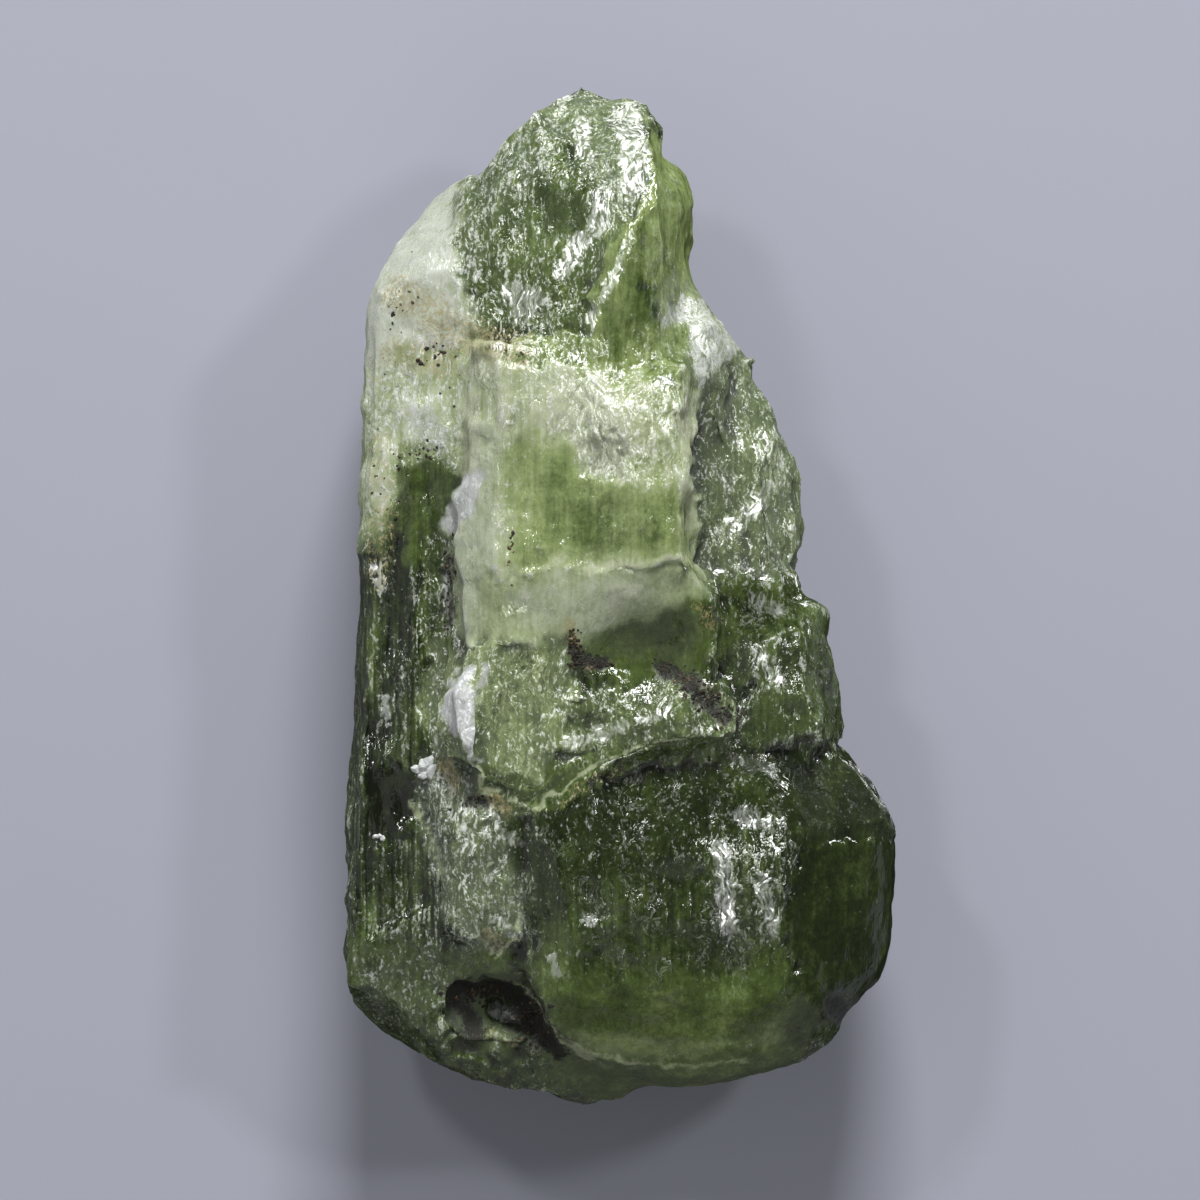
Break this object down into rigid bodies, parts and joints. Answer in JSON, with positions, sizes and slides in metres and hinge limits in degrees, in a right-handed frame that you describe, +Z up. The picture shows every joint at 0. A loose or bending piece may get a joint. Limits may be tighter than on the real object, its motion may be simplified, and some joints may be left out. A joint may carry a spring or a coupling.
{
  "type": "peridot crystal",
  "caption": "Rough green gem crystal of sub-parallel blades, tapering to a pointed end and lying on its broad back face.",
  "frame": {"origin": "middle of the crystal's box, on the surface that it lies on", "axes": "+Y along the crystal towards its pointed end, +X across it, +Z up out of its broad front"},
  "size_m": [0.024, 0.0444, 0.0144],
  "materials": {
    "peridot": "rough translucent green gem mineral, glassy on its breaks, frosted and stained in places"
  },
  "bodies": {
    "root": {"peridot_crystal": "peridot"}
  },
  "joints": []
}
